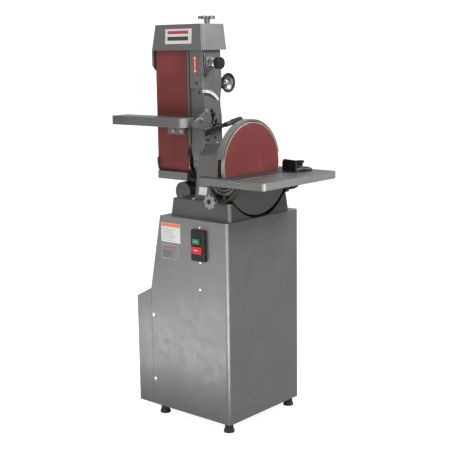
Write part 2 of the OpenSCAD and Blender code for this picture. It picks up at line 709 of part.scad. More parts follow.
module at_gauge() translate([gauge_x, gauge_y, disc_table_z]) rotate(gauge_turn) children();
module miter_head() color(black) at_gauge() difference() {
    union() {
        translate([0, 0, gap]) cylinder(r = 44, h = 11);
        translate([-30, -45, gap]) cube([60, 46, 11]);
        // fence, with a chamfered corner, and the webs behind it
        translate([0, -44, gap]) rotate([90, 0, 0]) linear_extrude(6)
            polygon([[-40, 0], [40, 0], [40, 43], [-31, 43], [-40, 33]]);
        for (x = [-28, 20]) translate([x, -45, gap]) rotate([90, 0, 90]) linear_extrude(8) polygon([[0, 8], [34, 8], [0, 38]]);
        translate([0, 0, gap]) cylinder(r = 15, h = 15);
    }
    translate([0, 0, -1]) cylinder(r = 4.05, h = 40);
    translate([0, 0, -1]) linear_extrude(20) arc_slot(32, 3.2, 40, 140);
    // rebate that carries the angle scale
    translate([0, 0, 8.5]) linear_extrude(9) sector(36, 46, 0, 180);
}

module miter_knob() color(black) at_gauge() {
    translate([0, 0, 1 - slot_depth]) cylinder(r = 4, h = slot_depth + 16);
    translate([0, 0, 15.6]) cylinder(r = 10, h = 13);
    translate([0, 0, 28]) linear_extrude(9) star(15, 6, 4, 11);
}

// ---- Belt arm ----

yoke_x = [-48, -14];
yoke_y = [-42, 6];
yoke_top_z = idler_z + 21;
yoke_foot_z = idler_z - 84;
arm_top_z = idler_z + 51;
screw_r = 5;

module arm_outline() {
    translate([0, axis_z]) circle(54, $fn = 96);
    polygon([[-50, axis_z], [arm_front_y, axis_z + 40], [arm_front_y, arm_top_z - 14], [-50, arm_top_z], [16, arm_top_z],
        [26, arm_top_z - 10], [35, idler_z - 30], [39, axis_z + 310], [39, axis_z + 275], [33, axis_z + 240],
        [31, axis_z + 220], [33, axis_z + 195], [38, axis_z + 170], [38, axis_z + 110], [41, axis_z + 60], [55, axis_z + 10]]);
    polygon([[-48, axis_z - 20], [30, axis_z - 40], [18, axis_z - 62], [-34, axis_z - 62]]);
}

module belt_arm() color(paint) difference() {
    union() {
        along_x(arm_x) arm_outline();
        // ear that carries the lock wheel, and bosses on the outer side
        along_x([arm_x[1] - 33, wheel_x0]) {
            translate([wheel_y, wheel_z]) circle(14);
            polygon([[20, wheel_z - 42], [20, wheel_z + 36], [wheel_y + 4, wheel_z + 13], [wheel_y + 4, wheel_z - 13]]);
        }
        xcyl(12, [arm_x[1] - 1, trunnion_x[0] - gap], lever_y, lever_z);
        xcyl(10, [arm_x[1] - 1, trunnion_x[0] - gap], guide_y, guide_z);
    }
    xcyl(quill_r + 0.05, arm_x + [-1, 1], 0, axis_z, $fn = 96);
    // guideway for the idler slide, open on the belt side
    span([yoke_x[0] - 0.1, yoke_x[1] + 0.1], yoke_y + [-0.1, 0.1], [yoke_foot_z - tension_drop - 4, yoke_top_z + 4]);
    span([arm_x[0] - 1, yoke_x[0] + 1], [idler_y - 14, idler_y + 14], [yoke_foot_z + 20, yoke_top_z + 1]);
    zcyl(screw_r + 0.05, [yoke_top_z, arm_top_z + 1], screw_x, screw_y);
    // lightening pocket in the belt side, below the guideway
    span([arm_x[0] - 1, -22], [-46, 14], [axis_z + 70, yoke_foot_z - tension_drop - 18]);
    xcyl(6.05, [-30, 10], lever_y, lever_z);
    xcyl(5.05, [arm_x[1] - 6.1, 10], guide_y, guide_z);
    xcyl(5.05, [wheel_x0 - 30, 10], wheel_y, wheel_z);
    xcyl(6.05, [-14, 10], track_y, track_z);
    // window beside the idler
    span([arm_x[1] - 9, arm_x[1] + 1], [arm_front_y - 1, arm_front_y + 9], [axis_z + 344, axis_z + 389]);
}
guide_y = -28;
guide_z = belt_table_z + 10;
wheel_x0 = arm_x[1] - 19;

module arm_front_cover() color(paint) difference() {
    span([arm_x[0] + 3, arm_x[1]], [arm_front_y - 5, arm_front_y], [axis_z + 270, hood_z[0] + 4]);
    span([arm_x[0] + 5, arm_x[1] - 2], [arm_front_y - 3, arm_front_y + 1], [axis_z + 272, hood_z[0] + 2]);
}

module direction_label() color("#c8202c")
    span([-41, -22], [arm_front_y - 5 - label_t, arm_front_y - 5], [axis_z + 322, axis_z + 382]);

// A sheet hood, wider at its foot than its top
module hood_solid(in) hull() for (h = [0, 1]) {
    box = h == 0 ? hood_foot : hood_top;
    x = box[0] + [in, -in];
    y = box[1] + [in, -in];
    translate([0, 0, h == 0 ? hood_z[0] - in : hood_z[1] - in - 0.01])
        linear_extrude(0.01) round_rect(x, y, 10 - in);
}
module hood() color(paint) difference() {
    union() {
        hood_solid(0);
        // hanging guard at the belt's free end
        along_x([hood_foot[0][0] + 1, hood_foot[0][0] + 3]) {
            translate([-36, axis_z + 363]) circle(38);
            span2([-74, 2], [axis_z + 363, hood_z[0] + 4]);
        }
    }
    difference() {
        hood_solid(hood_t);
        // saddle that rests on the arm
        span([arm_x[0], arm_x[1]], [-52, 14], [arm_top_z, hood_z[1]]);
    }
    zcyl(8, [arm_top_z - 1, hood_z[1] + 1], screw_x, screw_y);
}
module span2(y, z) translate([y[0], z[0]]) square([y[1] - y[0], z[1] - z[0]]);

module hood_badge() color("white") {
    lean = atan2(hood_top[1][0] - hood_foot[1][0], hood_z[1] - hood_z[0]);
    translate([-170, hood_foot[1][0], hood_z[0]]) rotate([-lean, 0, 0])
        span([5, 134], [-label_t, 0], [23, 76]);
}

module arm_screws() color(steel) {
    translate([arm_x[1] - 28, arm_front_y - 5, axis_z + 287]) rotate([90, 0, 0]) pan_head(5, 3);
    translate([arm_x[1] - 21, arm_front_y, axis_z + 254]) rotate([90, 0, 0]) pan_head(4.5, 2.5);
    for (p = [[-50, axis_z + 315], [0, axis_z + 90], [-40, axis_z + 84]])
        translate([arm_x[1], p[0], p[1]]) rotate([0, 90, 0]) pan_head(4.5, 3);
    // headed stud that guides the belt table's trunnion
    xcyl(5, [arm_x[1] - 6, trunnion_x[1] + 2], guide_y, guide_z);
    xcyl(9, [trunnion_x[1] + 0.5, trunnion_x[1] + 2], guide_y, guide_z);
    translate([trunnion_x[1] + 2, guide_y, guide_z]) rotate([0, 90, 0]) hex_head(13, 6);
}

module platen() color(paint) {
    front = belt_face_y + belt_t + 0.4;
    span([belt_x0 + 1, arm_x[0] - 0.05], [front, front + 7.6], [axis_z + 68, axis_z + 355]);
    // narrow lip beside the idler drum
    span([belt_x1 + 1, arm_x[0] - 0.05], [front, front + 7.6], [axis_z + 350, hood_z[0] + 4]);
    for (z = [axis_z + 90, axis_z + 300]) span([-120, arm_x[0]], [front + 7.5, -32], [z, z + 8]);
    span([arm_x[0] - 6, arm_x[0]], [front + 7.5, -26], [axis_z + 78, axis_z + 325]);
}

// The belt: an arc round each drum and a straight run down each side
module belt_loop_outline(in) {
    r1 = drive_pitch_r;
    r2 = idler_pitch_r;
    top = [r2 - r1, idler_z - axis_z];
    lean = asin((r1 - r2) / norm(top));
    polygon(concat(arc_points([0, 0], r1 - in, 180, 360 + 2 * lean, 64), arc_points(top, r2 - in, 2 * lean, 180, 56)));
}
module sanding_belt() color(grit_red) along_x([belt_x0, belt_x1]) translate([0, axis_z]) difference() {
    belt_loop_outline(0);
    belt_loop_outline(belt_t);
}

// ---- Idler and its slide ----

module idler_yoke() color(iron) difference() {
    union() {
        span(yoke_x, yoke_y, [yoke_foot_z, yoke_top_z]);
        xcyl(8.5, [belt_x0 + 4, yoke_x[0] + 1], idler_y, idler_z);
        xcyl(12, [-68, yoke_x[0] + 1], idler_y, idler_z);
    }
    zcyl(screw_r + 0.05, [yoke_top_z - 60, yoke_top_z + 1], screw_x, screw_y);
}

idler_bearing_x = [[-210, -200], [-94, -84]];
module idler_drum() color(iron) difference() {
    xcyl(idler_r, [belt_x0 + 1, belt_x1 - 1], idler_y, idler_z, $fn = 128);
    xcyl(14, [belt_x0, belt_x1], idler_y, idler_z);
    xcyl(17.52, [belt_x0, idler_bearing_x[0][1]], idler_y, idler_z);
    xcyl(17.52, [idler_bearing_x[1][0], belt_x1], idler_y, idler_z);
    for (x = [[belt_x0, belt_x0 + 10], [belt_x1 - 10, belt_x1]]) difference() {
        xcyl(idler_r - 7, x, idler_y, idler_z);
        xcyl(22, x + [-1, 1], idler_y, idler_z);
    }
}
module idler_bearings() color(steel) for (x = idler_bearing_x) difference() {
    xcyl(17.5, x, idler_y, idler_z);
    xcyl(8.54, x + [-1, 1], idler_y, idler_z);
}

module tension_knob() color(black) translate([screw_x, screw_y, 0]) {
    zcyl(screw_r, [yoke_top_z - 50, arm_top_z + 10]);
    zcyl(6.5, [arm_top_z + gap, hood_z[1] + 6]);
    zcyl(10.5, [hood_z[1] + 2, hood_z[1] + 18]);
    translate([0, 0, hood_z[1] + 17]) linear_extrude(11) star(32, tension_lobes, 9, 15);
}

module tracking_bracket() color(steel) {
    difference() {
        union() {
            span([arm_x[1], arm_x[1] + 5], [track_y - 22, track_y + 16], [track_z - 22, track_z + 22]);
            xcyl(18.5, [arm_x[1] + 4, arm_x[1] + 17], track_y, track_z);
            xcyl(15, [arm_x[1] + 16, arm_x[1] + 26], track_y, track_z);
        }
        xcyl(6.05, [arm_x[1] - 1, arm_x[1] + 27], track_y, track_z);
    }
}

module fluted(r, n, x, y, z) translate([x[0], y, z]) rotate([0, 90, 0]) linear_extrude(x[1] - x[0]) difference() {
    circle(r);
    for (i = [0:n - 1]) rotate(i * 360 / n) translate([r + 1.2, 0]) circle(2.6, $fn = 24);
}
module tracking_knob() color(black) {
    xcyl(6, [arm_x[1] - 16, 30], track_y, track_z);
    xcyl(12, [arm_x[1] + 26.3, 38], track_y, track_z);
    fluted(21, 12, [37, 58], track_y, track_z);
}

module lock_wheel() color(black) translate([0, wheel_y, wheel_z]) {
    xcyl(5, [wheel_x0 - 24, wheel_x0 + 10]);
    translate([wheel_x0 + gap, 0, 0]) rotate([0, 90, 0]) rotate_extrude($fn = 96) polygon([
        [0, 0], [11, 0], [12, 4], [24, 10], [30, 14], [35, 15], [36, 19], [34, 23], [29, 22], [28, 18], [22, 14],
        [11, 10], [10, 16], [0, 17]]);
}

// ---- Lock lever on the belt table's trunnion ----

module lock_lever() color(black) {
    xcyl(6, [-20, 37], lever_y, lever_z);
    xcyl(13, [trunnion_x[1] + gap, 36], lever_y, lever_z);
    translate([42, lever_y, lever_z]) rotate([0, 90, 0]) hex_head(13, 5);
    along_x([36, 42]) translate([lever_y, lever_z]) rotate(lever_lean) {
        translate([-74, -7]) square([150, 14]);
        circle(15);
        translate([-74, 0]) circle(7);
    }
}
module lever_grip() color(rubber) translate([39, lever_y, lever_z]) rotate([lever_lean, 0, 0]) difference() {
    ycyl(9, [34, 126]);
    span([-3, 3], [33, 76], [-7, 7]);
}

// ---- Belt table ----

module belt_table() color(iron) difference() {
    along_x(belt_table_x) polygon([[belt_table_y0, belt_table_z - belt_table_t], [belt_table_y0, belt_table_z],
        [belt_face_y - belt_table_gap, belt_table_z], [belt_face_y - belt_table_gap, belt_table_z - 1],
        [belt_face_y - belt_table_t - 1.5, belt_table_z - belt_table_t]]);
    for (x = [[belt_table_x[0] + 9, -268], [-258, -154], [-64, belt_table_x[1] - 9]])
        span(x, [belt_table_y0 + (x[0] > -100 ? 18 : 9), belt_face_y - belt_table_t - 6], [belt_table_z - 50, belt_table_z - 9]);
    difference() {
        span([belt_table_x[1] - 32, belt_table_x[1] + 1], [belt_table_y0 - 1, belt_table_y0 + 32], [belt_table_z - 60, belt_table_z + 1]);
        zcyl(32, [belt_table_z - 61, belt_table_z + 2], belt_table_x[1] - 32, belt_table_y0 + 32);
    }
}

module belt_table_trunnion() color(paint) difference() {
    union() {
        along_x(trunnion_x) translate([belt_face_y, belt_table_z]) {
            sector(0, trunnion_r, -98, 92);
            polygon([[0, -40], [-50, -32], [-50, -8], [0, 20]]);
        }
        // flange that reaches across to the table's end
        span([belt_table_x[1], trunnion_x[1]], [belt_face_y - 50, belt_face_y - 34.8], [belt_table_z - 31, belt_table_z - 8]);
        along_x([-104, -24]) translate([belt_face_y, belt_table_z])
            polygon([[-70, -57], [-59, -57], [-35, -belt_table_t], [-70, -belt_table_t]]);
    }
    translate([0, belt_face_y, belt_table_z]) along_x([0, 30]) {
        arc_slot(norm([lever_y - belt_face_y, lever_z - belt_table_z]), 6.5, lever_bearing - 47, lever_bearing + 22);
        arc_slot(norm([guide_y - belt_face_y, guide_z - belt_table_z]), 5.5, guide_bearing - 47, guide_bearing + 22);
    }
}
lever_bearing = atan2(lever_z - belt_table_z, lever_y - belt_face_y);
guide_bearing = atan2(guide_z - belt_table_z, guide_y - belt_face_y);

module table_bolts() color(steel) {
    for (x = [-72, -34]) translate([x, belt_face_y - 70, belt_table_z - 45]) rotate([90, 0, 0]) hex_head(13, 6);
    translate([trunnion_x[1], belt_face_y - 19, belt_table_z - 6]) rotate([0, 90, 0]) hex_head(11, 5);
    translate([trunnion_x[1], belt_face_y + 5, belt_table_z + 23]) rotate([0, 90, 0]) hex_head(11, 5);
}

module angle_scale() color("white") difference() {
    along_x([arm_x[1], trunnion_x[1] + 1]) translate([belt_face_y, belt_table_z]) sector(88, 98, 40, 89);
    span([trunnion_x[0] - 1, 30], [-200, 200], [belt_table_z - 100, belt_table_z]);
}

// ---- Dust collection ----

scoop_x = [belt_x0 + 7, belt_x1 + 2.1];
duct_x = -117;
duct_z = axis_z - 113;
duct_r = 37;
scoop_r = 79;
module dust_scoop() color(paint) difference() {
    union() {
        along_x(scoop_x) {
            translate([0, axis_z]) sector(0, scoop_r, 225, 294);
            polygon([[-scoop_r, axis_z - 37], [-scoop_r, axis_z - 66], [-60, axis_z - 60], [-60, axis_z - 37]]);
        }
        along_x([scoop_x[0] - 2, scoop_x[0]]) translate([0, axis_z]) sector(70.5, scoop_r + 1, 170, 235);
    }
    along_x(scoop_x + [0, 1]) translate([0, axis_z]) circle(scoop_r - 2, $fn = 128);
    // way down into the duct
    span([duct_x - 24, duct_x + 24], [-20, 20], [axis_z - 95, axis_z - 70]);
}

module dust_port() color(black) difference() {
    union() {
        ycyl(duct_r, [-52, 176], duct_x, duct_z);
        ycyl(duct_r - 1, [-52, 226], duct_x, duct_z);
        span([-100, -60], [60, 100], [base_top, base_top + 5]);
    }
    ycyl(duct_r - 4, [-48, 237], duct_x, duct_z);
    xcyl(scoop_r, [scoop_x[0], scoop_x[1]], 0, axis_z, $fn = 128);
}

stand_cabinet();
motor_cover();
rubber_feet();
pan_screws();
hex_bolts();
switch_box();
start_button();
stop_button();
front_labels();
cord_gland();
motor_plate();
motor_body();
motor_terminal_box();
motor_shaft();
motor_pulley();
v_belt();
machine_base();
spindle_housing();
spindle_bearings();
spindle_shaft();
spindle_pulley();
pulley_guard();
disc_guard();
disc_guard_cover();
disc_guard_rim();
disc_plate();
abrasive_disc();
drive_drum();
tilt_brackets();
disc_table();
disc_table_trunnions();
tilt_scale();
tilt_pinion_knob();
table_lock_knob();
miter_bar();
miter_head();
miter_knob();
belt_arm();
arm_front_cover();
direction_label();
hood();
hood_badge();
arm_screws();
platen();
sanding_belt();
dust_scoop();
dust_port();
angle_scale();
tracking_bracket();
tracking_knob();
idler_yoke();
idler_drum();
idler_bearings();
tension_knob();
lock_wheel();
lock_lever();
lever_grip();
belt_table();
belt_table_trunnion();
table_bolts();
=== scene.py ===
import json
import math

import bmesh
import bpy
from mathutils import Matrix, Vector

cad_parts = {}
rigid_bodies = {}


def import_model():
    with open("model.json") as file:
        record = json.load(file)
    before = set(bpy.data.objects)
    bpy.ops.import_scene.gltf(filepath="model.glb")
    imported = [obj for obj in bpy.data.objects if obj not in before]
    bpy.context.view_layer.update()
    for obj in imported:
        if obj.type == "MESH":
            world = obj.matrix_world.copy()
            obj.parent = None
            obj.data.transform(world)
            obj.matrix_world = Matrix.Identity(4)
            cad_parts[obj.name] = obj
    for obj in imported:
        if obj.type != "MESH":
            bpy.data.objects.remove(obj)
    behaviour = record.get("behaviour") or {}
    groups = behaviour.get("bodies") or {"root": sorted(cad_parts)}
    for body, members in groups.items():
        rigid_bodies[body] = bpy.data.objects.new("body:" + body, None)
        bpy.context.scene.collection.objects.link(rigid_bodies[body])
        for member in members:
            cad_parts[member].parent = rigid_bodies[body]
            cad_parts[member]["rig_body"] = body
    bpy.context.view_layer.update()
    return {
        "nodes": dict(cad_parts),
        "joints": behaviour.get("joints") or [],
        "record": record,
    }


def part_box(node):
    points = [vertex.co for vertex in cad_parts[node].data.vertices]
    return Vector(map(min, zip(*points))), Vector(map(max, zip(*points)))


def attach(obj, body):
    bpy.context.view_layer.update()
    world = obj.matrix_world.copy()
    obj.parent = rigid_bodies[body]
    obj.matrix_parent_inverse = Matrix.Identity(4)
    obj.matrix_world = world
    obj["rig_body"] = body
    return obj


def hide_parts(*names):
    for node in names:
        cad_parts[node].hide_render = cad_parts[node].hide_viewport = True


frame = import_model()
NODES = frame["nodes"]
BODY_OF = {n: b for b, ns in frame["record"]["behaviour"]["bodies"].items() for n in ns}
SLOT_OF = {s["node"]: s["material_slot"] for s in frame["record"]["subparts"]}
JOINTS = {j["name"]: j for j in frame["joints"]}
scene = bpy.context.scene

X, Y, Z = (1, 0, 0), (0, 1, 0), (0, 0, 1)

# ---------------------------------------------------------------- camera

EYE = Vector((2.382, -2.6951, 1.351))
LOOKS_AT = Vector((0.0949, -0.0607, 0.7251))
LENS_MM = 79.18
SENSOR_MM = 36.0
ROLL = -0.01542


def make_camera():
    data = bpy.data.cameras.new("camera")
    cam = bpy.data.objects.new("camera", data)
    scene.collection.objects.link(cam)
    scene.camera = cam
    data.sensor_width = SENSOR_MM
    data.lens = LENS_MM
    data.clip_end = 60
    ahead = (LOOKS_AT - EYE).normalized()
    side = ahead.cross(Vector(Z)).normalized()
    up = side.cross(ahead)
    right = side * math.cos(ROLL) + up * math.sin(ROLL)
    top = up * math.cos(ROLL) - side * math.sin(ROLL)
    m = Matrix((right, top, -ahead)).transposed().to_4x4()
    m.translation = EYE
    cam.matrix_world = m


make_camera()

# ---------------------------------------------------------------- materials

# the colour sockets of a Mix node, which has one set of sockets per data type
MIX_A, MIX_B, MIX_RESULT = 6, 7, 2


class Mat:
    """A procedural material around one Principled shader, in object coordinates (metres)."""

    def __init__(self, name, color, rough, metal=0.0, **sockets):
        self.m = bpy.data.materials.new(name)
        self.m.use_nodes = True
        self.t = self.m.node_tree
        self.b = self.t.nodes["Principled BSDF"]
        self.b.inputs["Base Color"].default_value = (*color, 1)
        self.b.inputs["Roughness"].default_value = rough
        self.b.inputs["Metallic"].default_value = metal
        for k, v in sockets.items():
            self.b.inputs[k.replace("_", " ")].default_value = v
        self.co = self.t.nodes.new("ShaderNodeTexCoord").outputs["Object"]

    def node(self, kind, **inputs):
        """A new node. Each input is a value or a socket to link."""
        n = self.t.nodes.new("ShaderNode" + kind)
        for k, v in inputs.items():
            s = n.inputs[k.replace("_", " ")]
            if isinstance(v, bpy.types.NodeSocket):
                self.t.links.new(v, s)
            else:
                s.default_value = v
        return n

    def stretched(self, scale):
        """Coordinates scaled differently along each axis, for marks that run one way."""
        n = self.t.nodes.new("ShaderNodeMapping")
        self.t.links.new(self.co, n.inputs["Vector"])
        n.inputs["Scale"].default_value = scale
        return n.outputs["Vector"]

    def noise(self, scale, detail=2.0, rough=0.5, co=None):
        n = self.node("TexNoise", Scale=scale, Detail=detail, Roughness=rough)
        self.t.links.new(co or self.co, n.inputs["Vector"])
        return n.outputs["Fac"]

    def ramp(self, value, low, high, to_low=0.0, to_high=1.0):
        """Maps low..high to to_low..to_high, and clamps."""
        n = self.node("MapRange", Value=value, From_Min=low, From_Max=high,
                      To_Min=to_low, To_Max=to_high)
        return n.outputs["Result"]

    def math(self, op, a, b):
        n = self.t.nodes.new("ShaderNodeMath")
        n.operation = op
        for i, v in enumerate((a, b)):
            if isinstance(v, bpy.types.NodeSocket):
                self.t.links.new(v, n.inputs[i])
            else:
                n.inputs[i].default_value = v
        return n.outputs[0]

    def tint(self, fac, color, strength):
        """Mixes the base colour towards color by fac times strength."""
        n = self.t.nodes.new("ShaderNodeMix")
        n.data_type = "RGBA"
        self.t.links.new(self.math("MULTIPLY", fac, strength), n.inputs["Factor"])
        s = self.b.inputs["Base Color"]
        if s.is_linked:
            self.t.links.new(s.links[0].from_socket, n.inputs[MIX_A])
        else:
            n.inputs[MIX_A].default_value = s.default_value
        n.inputs[MIX_B].default_value = (*color, 1)
        self.t.links.new(n.outputs[MIX_RESULT], s)

    def gloss(self, fac, low, high):
        """Roughness that wanders between low and high with fac."""
        self.t.links.new(self.ramp(fac, 0.3, 0.7, low, high), self.b.inputs["Roughness"])

    def bump(self, height, distance, strength):
        """Adds a layer of relief, distance in metres, over any that is there."""
        n = self.node("Bump", Height=height, Distance=distance, Strength=strength)
        s = self.b.inputs["Normal"]
        if s.is_linked:
            self.t.links.new(s.links[0].from_socket, n.inputs["Normal"])
        self.t.links.new(n.outputs["Normal"], s)


def shade(c, k):
    return tuple(min(1.0, v * k) for v in c)


def paint(name, color, cast=False):
    """Metallic enamel: orange peel, flake, faint clouding, and a rougher skin on castings."""
    m = Mat(name, color, 0.42, 0.5, Coat_Weight=0.2, Coat_Roughness=0.16)
    cloud = m.noise(5.0, 4.0, 0.6)
    m.tint(m.ramp(cloud, 0.35, 0.75), shade(color, 1.22), 0.8)
    flake = m.noise(2600.0, 1.0)
    m.tint(m.ramp(flake, 0.58, 0.72), shade(color, 1.8), 0.45)
    scuff = m.noise(55.0, 6.0, 0.75)
    m.tint(m.ramp(scuff, 0.66, 0.8), shade(color, 0.6), 0.35)
    m.gloss(m.noise(34.0, 5.0, 0.65), 0.34, 0.52)
    m.bump(m.noise(420.0, 2.0), 0.00012, 0.5)
    if cast:
        m.bump(m.noise(130.0, 4.0, 0.6), 0.0007, 0.5)
    return m.m


def worn(name, color):
    """The enamel on an edge: thinner, brighter, with metal showing where it's rubbed."""
    m = Mat(name, shade(color, 1.5), 0.36, 0.35, Coat_Weight=0.2, Coat_Roughness=0.2)
    rub = m.noise(85.0, 6.0, 0.7)
    m.tint(m.ramp(rub, 0.55, 0.7), (0.55, 0.55, 0.54), 0.75)
    m.gloss(m.noise(60.0, 4.0), 0.28, 0.46)
    m.bump(m.noise(420.0, 2.0), 0.0001, 0.5)
    return m.m


# noise scale along each axis: low along the marks, high across them
MARKS_ALONG = {"x": (6, 900, 900), "y": (900, 6, 900), "z": (900, 900, 6), "ring": (900, 900, 900)}


def ground(name, color, along, rough, metal=0.85):
    """Ground or turned iron: fine parallel marks one way, oil stains and small pits."""
    m = Mat(name, color, rough, metal)
    marks = m.noise(1.0, 3.0, 0.6, m.stretched(MARKS_ALONG[along]))
    stain = m.noise(11.0, 5.0, 0.65)
    m.tint(m.ramp(stain, 0.5, 0.75), shade(color, 0.62), 0.6)
    m.tint(m.ramp(marks, 0.45, 0.75), shade(color, 1.35), 0.5)
    m.gloss(marks, rough - 0.09, rough + 0.13)
    m.bump(marks, 0.00006, 0.6)
    pits = m.noise(700.0, 2.0)
    m.bump(m.ramp(pits, 0.7, 0.8, 1.0, 0.0), 0.0001, 0.35)
    return m.m


def oiled(name):
    """Bare iron under old oil: brown stains and wet patches."""
    m = Mat(name, (0.022, 0.016, 0.011), 0.38, 0.4)
    m.tint(m.ramp(m.noise(70.0, 6.0, 0.7), 0.45, 0.7), (0.085, 0.045, 0.022), 0.6)
    m.gloss(m.noise(40.0, 5.0, 0.6), 0.2, 0.55)
    m.bump(m.noise(260.0, 3.0), 0.0002, 0.6)
    return m.m


def bright(name, color, rough):
    """Plated or polished metal with a few dull patches."""
    m = Mat(name, color, rough, 1.0)
    m.gloss(m.noise(140.0, 4.0, 0.6), rough, rough + 0.16)
    m.tint(m.ramp(m.noise(60.0, 5.0, 0.7), 0.55, 0.75), shade(color, 0.55), 0.6)
    m.bump(m.noise(900.0, 1.0), 0.00004, 0.4)
    return m.m


def plastic(name, color, rough, grain=1100.0, depth=0.00005, shine=0.5):
    """Moulded plastic or thick enamel, with a grain of the given scale and depth."""
    m = Mat(name, color, rough, 0.0, Specular_IOR_Level=shine)
    m.tint(m.ramp(m.noise(24.0, 4.0, 0.6), 0.45, 0.75), shade(color, 1.5), 0.35)
    m.gloss(m.noise(70.0, 5.0, 0.6), rough - 0.08, rough + 0.12)
    m.bump(m.noise(grain, 2.0), depth, 0.6)
    return m.m


def rubber(name, color):
    """Matt rubber with dust in its pores."""
    m = Mat(name, color, 0.72, 0.0)
    m.tint(m.ramp(m.noise(45.0, 5.0, 0.7), 0.5, 0.75), (0.045, 0.044, 0.042), 0.4)
    m.gloss(m.noise(90.0, 4.0), 0.62, 0.85)
    m.bump(m.noise(600.0, 3.0), 0.00015, 0.6)
    return m.m


def grit(name, color):
    """Coated abrasive: close grains on cloth, with faint streaks and a few loaded patches."""
    m = Mat(name, color, 0.85, 0.0, Specular_IOR_Level=0.25)
    grain = m.node("TexVoronoi", Scale=1700.0).outputs["Distance"]
    m.tint(m.ramp(grain, 0.15, 0.6), shade(color, 0.55), 0.55)
    speck = m.noise(2300.0, 2.0, 0.6)
    m.tint(m.ramp(speck, 0.6, 0.72), shade(color, 2.2), 0.5)
    m.tint(m.ramp(m.noise(9.0, 4.0, 0.6), 0.4, 0.75), shade(color, 1.3), 0.7)
    loaded = m.noise(38.0, 5.0, 0.7, m.stretched((1, 1, 0.25)))
    m.tint(m.ramp(loaded, 0.6, 0.8), (0.33, 0.17, 0.13), 0.22)
    m.gloss(m.noise(600.0, 2.0), 0.68, 0.9)
    m.bump(grain, 0.0003, 0.8)
    m.bump(speck, 0.0002, 0.6)
    return m.m


def printed(name, color, metal=0.0):
    """Ink or a varnished sticker, a little scuffed."""
    m = Mat(name, color, 0.45, metal, Coat_Weight=0.2, Coat_Roughness=0.25)
    m.tint(m.ramp(m.noise(90.0, 5.0, 0.7), 0.52, 0.75), shade(color, 0.86), 0.6)
    m.gloss(m.noise(150.0, 3.0), 0.37, 0.55)
    m.bump(m.noise(300.0, 2.0), 0.00004, 0.5)
    return m.m


GREY = (0.130, 0.130, 0.125)
CAST = (0.108, 0.108, 0.104)
RED = (0.165, 0.030, 0.028)
M = {
    "sheet": paint("enamel_sheet", GREY),
    "cast": paint("enamel_casting", CAST, cast=True),
    "cast_light": paint("enamel_guard", shade(GREY, 0.86), cast=True),
    "cast_dark": paint("enamel_base", shade(CAST, 0.74), cast=True),
    "dark": paint("enamel_dark", (0.06, 0.06, 0.059), cast=True),
    "sheet_edge": worn("enamel_sheet_edge", GREY),
    "cast_edge": worn("enamel_casting_edge", CAST),
    "dark_edge": worn("enamel_dark_edge", (0.08, 0.08, 0.079)),
    "iron_x": ground("ground_iron_x", (0.17, 0.17, 0.168), "x", 0.42),
    "iron_y": ground("ground_iron_y", (0.135, 0.135, 0.133), "y", 0.44),
    # a darker copy of the ground iron: painted shade for the table top beside the disc
    "iron_shaded_strip": ground("ground_iron_painted_shade", (0.070, 0.070, 0.069), "y", 0.46),
    "direction": plastic("direction_red", (0.55, 0.02, 0.03), 0.35),
    # the paler table-edge iron is a lit copy of the dull one below: painted light on the disc table's
    # right end, which faces the side lamp
    "iron_painted_lit_side": ground("table_edge_iron_painted_lit", (0.30, 0.30, 0.296), "z", 0.46),
    "iron_dull": ground("table_edge_dull", (0.145, 0.145, 0.143), "z", 0.46),
    "iron_edge": ground("table_arris_iron", (0.24, 0.24, 0.237), "x", 0.36),
    "turned": ground("turned_steel", (0.55, 0.55, 0.55), "x", 0.22),
    "oiled": oiled("oiled_iron"),
    "zinc": bright("zinc_plate", (0.42, 0.42, 0.43), 0.24),
    "zinc_star": bright("satin_cast_knob", (0.26, 0.26, 0.264), 0.3),
    "zinc_bracket": bright("zinc_bracket", (0.22, 0.22, 0.225), 0.34),
    "pale_rim": ground("turned_aluminium_rim", (0.33, 0.305, 0.275), "ring", 0.5, 0.25),
    "screw": bright("zinc_screw", (0.85, 0.85, 0.84), 0.4),
    "zinc_dark": bright("satin_dish", (0.16, 0.16, 0.165), 0.3),
    "chrome": bright("chrome_plate", (0.60, 0.60, 0.61), 0.14),
    "black": plastic("black_plastic", (0.010, 0.010, 0.011), 0.38, shine=0.22),
    "black_matt": plastic("black_textured", (0.010, 0.010, 0.010), 0.55, 500.0, 0.0002, 0.22),
    "black_iron": plastic("black_enamel", (0.009, 0.009, 0.009), 0.45, 300.0, 0.0002, 0.2),
    "rubber": rubber("rubber_black", (0.012, 0.012, 0.012)),
    "grit": grit("abrasive_red", RED),
    "green": plastic("plastic_green", (0.010, 0.20, 0.075), 0.4, shine=0.25),
    "red": plastic("plastic_red", (0.50, 0.010, 0.022), 0.4, shine=0.25),
    "white": printed("print_white", (0.62, 0.62, 0.60)),
    "print_red": printed("print_red", (0.42, 0.02, 0.06)),
    "print_orange": printed("print_orange", (0.72, 0.14, 0.03)),
    "print_grey": printed("print_grey", (0.26, 0.27, 0.28)),
    # dark ink, also used as painted shade in the screw heads' cross recesses
    "dark_ink_and_recess_shade": printed("dark_ink_and_recess_shade", (0.03, 0.03, 0.031)),
    "plate": printed("data_plate_metal", (0.15, 0.15, 0.147), metal=0.2),
}

# ---------------------------------------------------------------- shapes

SHARP = math.radians(38)      # a steeper edge than this is shaded sharp
ARRIS = math.radians(32)      # a steeper edge than this is rounded
COPLANAR = math.radians(0.3)  # faces closer than this are merged before rounding
BOX_SLACK = 0.0002            # how far a rounded piece may pass its CAD box
MERGE = 0.000002              # vertices closer than this are one
CORNER_STEPS = 6              # segments in a slab's rounded corner


